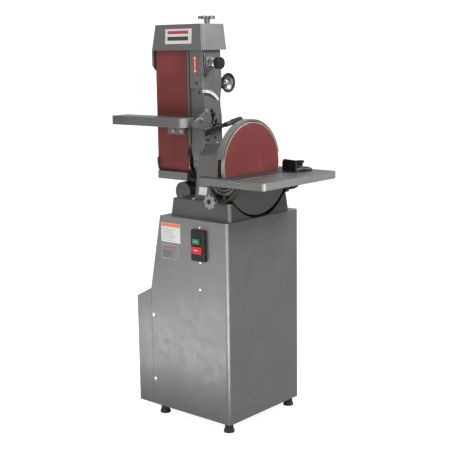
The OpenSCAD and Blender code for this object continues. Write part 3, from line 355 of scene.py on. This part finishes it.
def finish_mesh(bm, name, mats, body, slot=None):
    """Turns bm into a smooth-shaded piece on body."""
    for e in bm.edges:
        e.smooth = not (e.is_manifold and e.calc_face_angle(0.0) > SHARP)
    for f in bm.faces:
        f.smooth = True
    me = bpy.data.meshes.new(name)
    bm.to_mesh(me)
    bm.free()
    for m in mats:
        me.materials.append(m)
    ob = bpy.data.objects.new(name, me)
    scene.collection.objects.link(ob)
    ob.modifiers.new("normals", "WEIGHTED_NORMAL").keep_sharp = True
    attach(ob, body)
    return ob


def outside(bm, lo, hi):
    return any(v.co[i] < lo[i] - BOX_SLACK or v.co[i] > hi[i] + BOX_SLACK
               for v in bm.verts for i in range(3))


def cleaned(node, dissolve):
    """A copy of a CAD node's mesh, welded and, unless told not to, with flat faces merged."""
    bm = bmesh.new()
    bm.from_mesh(NODES[node].data)
    bmesh.ops.remove_doubles(bm, verts=bm.verts, dist=MERGE)
    if dissolve:
        bmesh.ops.dissolve_limit(bm, angle_limit=COPLANAR, verts=bm.verts, edges=bm.edges,
                                 delimit={"NORMAL"})
    bmesh.ops.dissolve_degenerate(bm, dist=MERGE / 2, edges=bm.edges)
    return bm


def refine(node, width, base, edge=None, segments=2, zones=(), dissolve=True):
    """Stands in for a CAD node: the same shape, its arrises rounded and painted as worn.

    width is the rounding in millimetres: halved, then clamped, if it leaves the node's box.
    zones are (test, material) pairs: each repaints the base's faces that pass its test.
    """
    lo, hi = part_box(node)
    for w, clamp in ((width, False), (width * 0.5, False), (width, True)):
        bm = cleaned(node, dissolve)
        for f in bm.faces:
            f.material_index = 0
        arris = [e for e in bm.edges if e.is_manifold and e.calc_face_angle(0.0) > ARRIS]
        bmesh.ops.bevel(bm, geom=arris, offset=w / 1000.0, offset_type="OFFSET",
                        segments=segments, profile=0.5, affect="EDGES", clamp_overlap=clamp,
                        loop_slide=True, material=1 if edge else -1, miter_outer="SHARP")
        if not outside(bm, lo, hi):
            break
    mats = [M[base]] + ([M[edge]] if edge else [])
    for test, name in zones:
        mats.append(M[name])
        for f in bm.faces:
            if f.material_index == 0 and test(f):
                f.material_index = len(mats) - 1
    ob = finish_mesh(bm, node + "_fine", mats, BODY_OF[node], SLOT_OF[node])
    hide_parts(node)


def raised(bm, outline, by):
    """Fills an outline and extrudes it to a slab."""
    f = bm.faces.new([bm.verts.new(p) for p in outline])
    grown = bmesh.ops.extrude_face_region(bm, geom=[f])["geom"]
    bmesh.ops.translate(bm, vec=by, verts=[g for g in grown if isinstance(g, bmesh.types.BMVert)])
    bmesh.ops.recalc_face_normals(bm, faces=bm.faces)


def plate(name, corner, u, v, size, height, mat, body, lift=0.0, slot=None, round_by=0.0):
    """A thin slab on a face: from corner, along unit vectors u and v, raised along u x v."""
    u, v = Vector(u), Vector(v)
    n = u.cross(v)
    o = Vector(corner) + n * lift
    w, h = size
    r = round_by
    if r > 0:
        pts = []
        for cx, cy, start in ((w - r, h - r, 0), (r, h - r, 90), (r, r, 180), (w - r, r, 270)):
            for k in range(CORNER_STEPS + 1):
                a = math.radians(start + 90 * k / CORNER_STEPS)
                pts.append((cx + r * math.cos(a), cy + r * math.sin(a)))
    else:
        pts = [(0, 0), (w, 0), (w, h), (0, h)]
    bm = bmesh.new()
    raised(bm, [o + u * x + v * y for x, y in pts], n * height)
    return finish_mesh(bm, name, [M[mat]], body, slot)


def ring(name, center, axis, profile, mats, body, steps=48, slot=None, band=lambda k: 0):
    """A turned piece about axis through center.

    profile is (radius, along) points in metres. band gives the material of its k-th segment.
    """
    turn = Vector(Z).rotation_difference(Vector(axis).normalized()).to_matrix().to_4x4()
    turn.translation = Vector(center)
    bm = bmesh.new()
    rows = []
    for i in range(steps):
        a = 2 * math.pi * i / steps
        rows.append([bm.verts.new(turn @ Vector((r * math.cos(a), r * math.sin(a), z)))
                     for r, z in profile])
    for i in range(steps):
        a, b = rows[i], rows[(i + 1) % steps]
        for k in range(len(profile) - 1):
            bm.faces.new((a[k], b[k], b[k + 1], a[k + 1])).material_index = band(k)
    bmesh.ops.remove_doubles(bm, verts=bm.verts, dist=1e-6)
    bmesh.ops.dissolve_degenerate(bm, dist=1e-7, edges=bm.edges)
    bmesh.ops.recalc_face_normals(bm, faces=bm.faces)
    return finish_mesh(bm, name, [M[m] for m in mats], body, slot)


def joined(objects, name, slot):
    """One piece from several of one material on the same body."""
    bm = bmesh.new()
    for o in objects:
        bm.from_mesh(o.data)
    mats, body = list(objects[0].data.materials), objects[0]["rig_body"]
    for o in objects:
        bpy.data.objects.remove(o)
    return finish_mesh(bm, name, mats, body, slot)


# ---------------------------------------------------------------- CAD nodes with rounded arrises

refine("stand_cabinet", 0.7, "sheet", "sheet_edge")
refine("motor_cover", 0.7, "sheet", "sheet_edge")
refine("rubber_feet", 1.2, "rubber")
refine("switch_box", 0.9, "black_matt")
refine("start_button", 1.2, "green")
refine("stop_button", 1.6, "red")
refine("cord_gland", 0.8, "black")
refine("machine_base", 2.2, "cast_dark", "cast_edge", 3)
refine("spindle_housing", 1.6, "cast", "cast_edge")
refine("pulley_guard", 2.5, "cast_light", "sheet_edge", 3)
refine("disc_guard", 0.7, "cast", "cast_edge")
refine("disc_guard_cover", 0.9, "cast", "cast_edge")
refine("disc_guard_rim", 0.8, "sheet", "sheet_edge")
refine("disc_plate", 0.5, "pale_rim", "pale_rim")
refine("tilt_brackets", 0.8, "oiled")


def on_top(f, level):
    """True for a face that looks up and is above level."""
    return f.normal.z > 0.95 and f.calc_center_median().z > level


# the disc table's top is painted darker between the miter slot and the disc, as shade from the disc,
# and its right end face is painted paler, as lit by the side lamp
DISC_TABLE_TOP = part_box("disc_table")[1].z - 0.002
DISC_TABLE_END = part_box("disc_table")[1].x - 0.02
SLOT_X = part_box("miter_bar")[0].x
refine("disc_table", 1.6, "iron_dull", "iron_dull", 3,
       zones=[(lambda f: on_top(f, DISC_TABLE_TOP) and f.calc_center_median().x > SLOT_X, "iron_y"),
              (lambda f: on_top(f, DISC_TABLE_TOP), "iron_shaded_strip"),
              # painted light: the right end face gets the paler, lit copy of the edge iron
              (lambda f: f.normal.x > 0.7 and f.calc_center_median().x > DISC_TABLE_END,
               "iron_painted_lit_side")])
STAR_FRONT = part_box("tilt_pinion_knob")[0].y + 0.0006
refine("tilt_pinion_knob", 0.4, "zinc_star", segments=3,
       zones=[(lambda f: f.calc_center_median().y < STAR_FRONT, "black")])
refine("table_lock_knob", 0.5, "black", segments=3)
refine("miter_bar", 0.6, "iron_y", "iron_dull")
refine("miter_head", 1.0, "black_iron", "dark_edge")
refine("miter_knob", 0.2, "black", segments=3)
refine("belt_arm", 1.8, "cast", "cast_edge", 3)
refine("arm_front_cover", 0.6, "sheet", "sheet_edge")
refine("hood", 0.5, "sheet", "sheet_edge", dissolve=False)
refine("hood_badge", 0.15, "white")
refine("platen", 0.6, "cast", "cast_edge")
refine("idler_yoke", 1.0, "iron_y", "chrome")
refine("tension_knob", 0.8, "zinc_dark", segments=3)
refine("tracking_bracket", 0.9, "zinc_bracket")
refine("tracking_knob", 1.1, "black", segments=3)
refine("lock_lever", 0.6, "black_iron", "dark_edge")
refine("lever_grip", 1.4, "rubber", segments=3)
BELT_TABLE_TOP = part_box("belt_table")[1].z - 0.002
refine("belt_table", 1.6, "iron_dull", "iron_edge", 3,
       zones=[(lambda f: on_top(f, BELT_TABLE_TOP), "iron_x")])
refine("belt_table_trunnion", 0.9, "cast", "cast_edge")
refine("table_bolts", 0.4, "zinc")
refine("hex_bolts", 0.6, "zinc_bracket")
refine("pan_screws", 0.3, "screw")
refine("arm_screws", 0.5, "black_iron")
refine("dust_scoop", 0.5, "sheet", "sheet_edge")
refine("dust_port", 0.8, "dark")
refine("abrasive_disc", 0.25, "grit")
refine("drive_drum", 0.8, "iron_x", "chrome")
refine("idler_drum", 0.8, "iron_x", "chrome")

# nodes that are shown as the CAD has them
for node, mat in {
    "front_labels": "white", "motor_plate": "dark", "motor_body": "dark",
    "motor_terminal_box": "dark", "motor_shaft": "turned", "motor_pulley": "iron_x",
    "v_belt": "rubber", "spindle_bearings": "chrome", "spindle_shaft": "turned",
    "spindle_pulley": "iron_x", "disc_table_trunnions": "oiled", "tilt_scale": "black",
    "direction_label": "direction", "sanding_belt": "grit", "angle_scale": "white",
    "idler_bearings": "chrome",
}.items():
    NODES[node].data.materials.clear()
    NODES[node].data.materials.append(M[mat])

# ---------------------------------------------------------------- printed pieces

INK = 0.00006        # a printed bar's thickness
FILM = 0.00008       # a thin plate's or a colour band's thickness
ON_FACE = 0.00002    # how far a print on the cabinet stands off its sticker
ON_PLATE = 0.00012   # the same for print on the data plate, which lies on the sticker


def stripes(name, corner, size, rows, mat, lift, fill, seed):
    """Plain bars of uneven length on the cabinet's front, where small print would be."""
    w, h = size
    bars = []
    k = seed
    for i in range(rows):
        k = (k * 1103515245 + 12345) % 2147483648
        length = w * (0.55 + 0.45 * (k / 2147483648))
        at = Vector(corner) + Vector(Z) * (h * (rows - 1 - i) / rows)
        bars.append(plate(f"{name}_{i}", at, X, Z, (length, h / rows * fill), INK, mat,
                          "stand", lift))
    joined(bars, name, "labels")


def label_prints():
    """The cabinet's two labels: an orange band over faint lines, and a metal plate below."""
    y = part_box("front_labels")[0].y
    left, right, bottom, top = -0.098, -0.004, 0.665, 0.735
    plate("sticker_band", (left + 0.001, y, top - 0.0135), X, Z, (right - left - 0.002, 0.0125),
          FILM, "print_orange", "stand", ON_FACE, "labels")
    stripes("sticker_lines", (left + 0.006, y, bottom + 0.005),
            (right - left - 0.012, top - bottom - 0.021), 8, "print_grey", ON_FACE, 0.3, 3)
    left, right, bottom, top = -0.098, -0.016, 0.604, 0.656
    plate("data_plate", (left + 0.0006, y, bottom + 0.0006), X, Z,
          (right - left - 0.0012, top - bottom - 0.0012), FILM, "plate", "stand", ON_FACE,
          "labels", 0.002)
    plate("data_plate_bar", (left + 0.014, y, top - 0.013), X, Z, (0.055, 0.006), INK,
          "print_red", "stand", ON_PLATE, "labels")
    stripes("data_plate_lines", (left + 0.006, y, bottom + 0.006),
            (right - left - 0.014, top - bottom - 0.024), 5, "dark_ink_and_recess_shade", ON_PLATE, 0.42, 11)


def hood_guard_lip():
    """The folded front edge of the hood's hanging side guard."""
    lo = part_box("hood")[0]
    plate("hood_guard_lip", (lo.x + 0.0008, lo.y + 0.0055, lo.z + 0.020), X, Z, (0.0105, 0.060),
          0.0012, "sheet", "belt_arm", 0.0, SLOT_OF["hood"], 0.004)


def badge_print():
    """A red bar and a dark bar on the white badge of the hood's leaning front."""
    lo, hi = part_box("hood_badge")
    lean = math.atan2(hi.y - 0.0004 - lo.y, hi.z - lo.z)
    u, v = Vector(X), Vector((0, math.sin(lean), math.cos(lean)))
    w, h = hi.x - lo.x, (hi.z - lo.z) / math.cos(lean)
    for name, up, tall, mat in (("badge_red_bar", 0.66, 0.011, "print_red"),
                                ("badge_dark_bar", 0.22, 0.014, "dark_ink_and_recess_shade")):
        plate(name, lo + u * 0.011 + v * (h * up), u, v, (w - 0.027, tall), 0.00012, mat,
              "belt_arm", 0.00005, "labels")


def direction_print():
    """White arrow on the direction sticker, with a head at each end."""
    lo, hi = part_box("direction_label")
    middle = (lo.x + hi.x) / 2
    half, head, margin, stem = 0.006, 0.012, 0.004, 0.0018
    ends = ((lo.z + margin, [(-half, 0), (half, 0), (0, head)]),
            (hi.z - margin, [(-half, 0), (0, -head), (half, 0)]))
    for i, (z, outline) in enumerate(ends):
        bm = bmesh.new()
        raised(bm, [(middle + x, lo.y - 0.00004, z + up) for x, up in outline], (0, -INK, 0))
        finish_mesh(bm, f"arrow_end_{i}", [M["white"]], "belt_arm", "labels")
    plate("arrow_stem", (middle - stem, lo.y, lo.z + 0.017), X, Z, (2 * stem, hi.z - lo.z - 0.034),
          INK, "white", "belt_arm", 0.00004, "labels")


def tick_marks(name, center, u, v, radii, angles, long_every, mat, body, width):
    """Graduations round center in the plane of u and v, standing 0.1 mm proud."""
    u, v = Vector(u), Vector(v)
    near, far = radii
    bars = []
    for i, a in enumerate(angles):
        t = math.radians(a)
        radial = u * math.cos(t) + v * math.sin(t)
        across = v * math.cos(t) - u * math.sin(t)
        inner = near if i % long_every == 0 else near + (far - near) * 0.45
        bars.append(plate(f"{name}_{i}", Vector(center) + radial * inner - across * (width / 2),
                          radial, across, (far - inner, width), 0.0001, mat, body, 0.00003))
    joined(bars, name, "labels")


def scales():
    """The disc table's tilt scale, with its arc, and the belt arm's angle scale."""
    pivot = JOINTS["disc_table_tilt"]["pos_m"]
    face = (pivot[0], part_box("tilt_scale")[0].y, pivot[2])
    tick_marks("tilt_graduations", face, X, Z, (0.047, 0.056), [212 + 4 * i for i in range(30)],
               5, "white", "disc_table", 0.0008)
    tick_marks("tilt_arc_line", face, X, Z, (0.0405, 0.0415), [214 + i for i in range(113)],
               1, "white", "disc_table", 0.0009)
    pivot = JOINTS["belt_table_tilt"]["pos_m"]
    face = (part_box("angle_scale")[1].x, pivot[1], pivot[2])
    tick_marks("angle_graduations", face, Y, Z, (0.0888, 0.0972), [42 + 3 * i for i in range(16)],
               5, "dark_ink_and_recess_shade", "belt_arm", 0.0006)


def button_mark(name, box, inset, size, body, round_by):
    """A plain white bar across a button, where its word would be."""
    lo, hi = box
    plate(name, (lo.x + inset, lo.y, (lo.z + hi.z - size[1]) / 2), X, Z, size, 0.0001, "white",
          body, 0.00003, "labels", round_by)


def switch_trim():
    button_mark("start_mark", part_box("start_button"), 0.010, (0.013, 0.0024), "start_button", 0.001)
    button_mark("stop_mark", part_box("stop_button"), 0.013, (0.018, 0.003), "stop_button", 0.0014)


# ---------------------------------------------------------------- trim on knobs, lever and screws

COLLAR_X = 0.0296            # back face of the tracking knob
GRIP_X = 0.039               # the lever's plane
GRIP_LEAN = math.radians(9)  # the lever's rise from level
WHEEL_DEPTH = 0.023          # front to back of the dished hand wheel
CABINET_FRONT = -0.190


def knob_trim():
    """A black cap on the silver tilt knob, and a chrome collar behind the tracking knob."""
    p = JOINTS["tilt_knob_turn"]["pos_m"]
    ring("tilt_knob_cap", (p[0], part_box("tilt_pinion_knob")[0].y, p[2]), Y,
         [(0.0, 0.0), (0.0045, 0.0001), (0.0072, 0.0006), (0.0078, 0.0012), (0.0078, 0.0024),
          (0.0, 0.0024)],
         ["black"], "tilt_knob", slot="black_plastic")
    p = JOINTS["tracking_turn"]["pos_m"]
    ring("tracking_collar", (COLLAR_X, p[1], p[2]), X,
         [(0.0125, 0.0), (0.0172, 0.0), (0.0178, 0.0008), (0.0178, 0.0032), (0.017, 0.004),
          (0.0125, 0.0042), (0.0125, 0.0)],
         ["chrome"], "tracking_knob", slot="bright_steel")


def grip_ribs():
    """Nine rounded ribs round the lever's rubber grip."""
    p = JOINTS["lever_turn"]["pos_m"]
    along = Vector((0, math.cos(GRIP_LEAN), math.sin(GRIP_LEAN)))
    center = Vector((GRIP_X, p[1], p[2]))
    first, pitch = 0.070, 0.006
    profile = [(0.0086, 0.0), (0.0105, 0.0006), (0.0112, 0.0016), (0.0112, 0.0036),
               (0.0105, 0.0046), (0.0086, 0.0052)]
    ribs = [ring(f"rib_{i}", center + along * (first + i * pitch), along, profile, ["rubber"],
                 "lock_lever", 32) for i in range(9)]
    joined(ribs, "grip_ribs", "black_rubber")


def wheel():
    """The dished hand wheel: black rim and back, satin dish, chrome hub and nut."""
    p = JOINTS["lock_wheel_turn"]["pos_m"]
    lo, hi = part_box("lock_wheel")
    back = hi.x - WHEEL_DEPTH
    rim = [(0.0, 0.0003), (0.0108, 0.0003), (0.0118, 0.0036), (0.018, 0.0062), (0.0245, 0.0098),
           (0.0300, 0.0130), (0.0335, 0.0134), (0.0352, 0.0148), (0.0360, 0.0176),
           (0.0356, 0.0206), (0.0342, 0.0226), (0.0318, 0.0229), (0.0296, 0.0218),
           (0.0284, 0.0192)]
    dish = [(0.0268, 0.0168), (0.0220, 0.0138), (0.0165, 0.0112)]
    hub = [(0.0112, 0.0098), (0.0106, 0.0104), (0.0098, 0.0150), (0.0088, 0.0160),
           (0.0058, 0.0164), (0.0, 0.0166)]

    def band(k):
        return 0 if k < len(rim) else 1 if k < len(rim) + len(dish) else 2

    ob = ring("lock_wheel_fine", (back, p[1], p[2]), X, rim + dish + hub,
              ["black", "zinc_dark", "chrome"], "lock_wheel", 72, "black_plastic", band)
    length = back - lo.x + 0.001
    ring("lock_wheel_stem", (lo.x, p[1], p[2]), X,
         [(0.0, 0.0), (0.0042, 0.0), (0.005, 0.0008), (0.005, length), (0.0, length)],
         ["zinc"], "lock_wheel", 32, "zinc_fasteners")
    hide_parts("lock_wheel")


def recess_shade_crosses():
    """Thin dark crosses laid on the pan heads on the cabinet's front: painted shade where their cross
    recesses would be.
    """
    # where each head is (x, z), how large its cross is, and how far the head stands out
    heads = [(-0.150, 0.381, 1.5, 0.004), (-0.148, 0.134, 1.5, 0.004), (0.086, 0.511, 0.9, 0.003),
             (0.089, 0.733, 0.8, 0.0026), (0.089, 0.608, 0.8, 0.0026)]
    bars = []
    for i, (x, z, k, out) in enumerate(heads):
        y = CABINET_FRONT - out
        arm, half = 0.0022 * k, 0.00035 * k
        # two dark bars per head: painted shade of the cross recess, not a cut
        for part, w, h in (("a", arm, half), ("b", half, arm)):
            bars.append(plate(f"cross_{i}_{part}", (x - w, y, z - h), X, Z, (2 * w, 2 * h),
                              0.00005, "dark_ink_and_recess_shade", "stand", -0.00001))
    joined(bars, "screw_recess_shade", "zinc_fasteners")


label_prints()
hood_guard_lip()
badge_print()
direction_print()
scales()
switch_trim()
knob_trim()
grip_ribs()
wheel()
recess_shade_crosses()

# ---------------------------------------------------------------- floor and light

WHITE = (1, 1, 1, 1)
FLOOR_SIZE = 60
FLOOR_GLOW_SEEN, FLOOR_GLOW = 0.92, 0.15  # as the camera sees it, and as it lights the machine
WORLD_SEEN, WORLD_LIGHT = 1.15, 0.6


def make_floor():
    bpy.ops.mesh.primitive_plane_add(size=FLOOR_SIZE, location=(0, 0, 0))
    floor = bpy.context.object
    floor.name = "floor"
    m = Mat("floor_paper", (0.3, 0.3, 0.3), 0.9)
    m.tint(m.noise(3.0, 2.0), (0.28, 0.28, 0.28), 0.3)
    m.b.inputs["Emission Color"].default_value = WHITE
    seen_directly = m.node("LightPath").outputs["Is Camera Ray"]
    m.t.links.new(m.ramp(seen_directly, 0.0, 1.0, FLOOR_GLOW, FLOOR_GLOW_SEEN),
                  m.b.inputs["Emission Strength"])
    floor.data.materials.append(m.m)


def make_world():
    world = bpy.data.worlds.new("studio")
    scene.world = world
    world.use_nodes = True
    t = world.node_tree
    light = t.nodes["Background"]
    light.inputs["Color"].default_value = WHITE
    light.inputs["Strength"].default_value = WORLD_LIGHT
    seen = t.nodes.new("ShaderNodeBackground")
    seen.inputs["Color"].default_value = WHITE
    seen.inputs["Strength"].default_value = WORLD_SEEN
    path = t.nodes.new("ShaderNodeLightPath")
    mix = t.nodes.new("ShaderNodeMixShader")
    t.links.new(path.outputs["Is Camera Ray"], mix.inputs[0])
    t.links.new(light.outputs[0], mix.inputs[1])
    t.links.new(seen.outputs[0], mix.inputs[2])
    t.links.new(mix.outputs[0], t.nodes["World Output"].inputs["Surface"])


def area(name, at, to, size, watts, mirrored=True, lit=True):
    """A soft light or card: mirrored shows in reflections, lit lights matt surfaces."""
    d = bpy.data.lights.new(name, "AREA")
    d.shape = "RECTANGLE"
    d.size, d.size_y = size
    d.energy = watts
    o = bpy.data.objects.new(name, d)
    scene.collection.objects.link(o)
    o.location = at
    o.rotation_euler = (Vector(to) - Vector(at)).to_track_quat("-Z", "Y").to_euler()
    o.visible_glossy = mirrored
    o.visible_diffuse = lit
    o.visible_camera = False


def make_lights():
    area("key", (-1.3, -2.4, 0.2), (0, 0, 0.25), (1.2, 0.8), watts=36, mirrored=False)
    area("strip", (0.9, -4.2, 1.5), (0.2, 0, 0.8), (0.25, 2.8), watts=80, lit=False)
    area("side", (1.7, 0.9, 2.4), (0.0, 0, 1.35), (0.7, 0.7), watts=64)
    area("low_card", (-1.3, -1.7, 0.05), (0, -0.19, 0.3), (1.6, 1.0), watts=4)
    area("floor_card", (-0.6, -1.05, 0.01), (-0.6, -1.05, 1.0), (1.0, 1.0), watts=13, lit=False)
    area("edge_card", (3.44, -2.41, 1.0), (0, 0, 0.9), (3.0, 3.0), watts=80, lit=False)
    area("edge_floor", (1.4, -1.3, 0.01), (1.4, -1.3, 1.0), (1.8, 1.8), watts=90, lit=False)
    area("overhead", (0.0, -0.2, 4.2), (0, 0, 0), (4.5, 4.5), watts=120)
    area("back", (-1.5, 3.4, 2.4), (0, 0, 1.0), (2.4, 2.4), watts=50, mirrored=False)


make_floor()
make_world()
make_lights()
scene.view_settings.view_transform = "Standard"
scene.view_settings.look = "None"
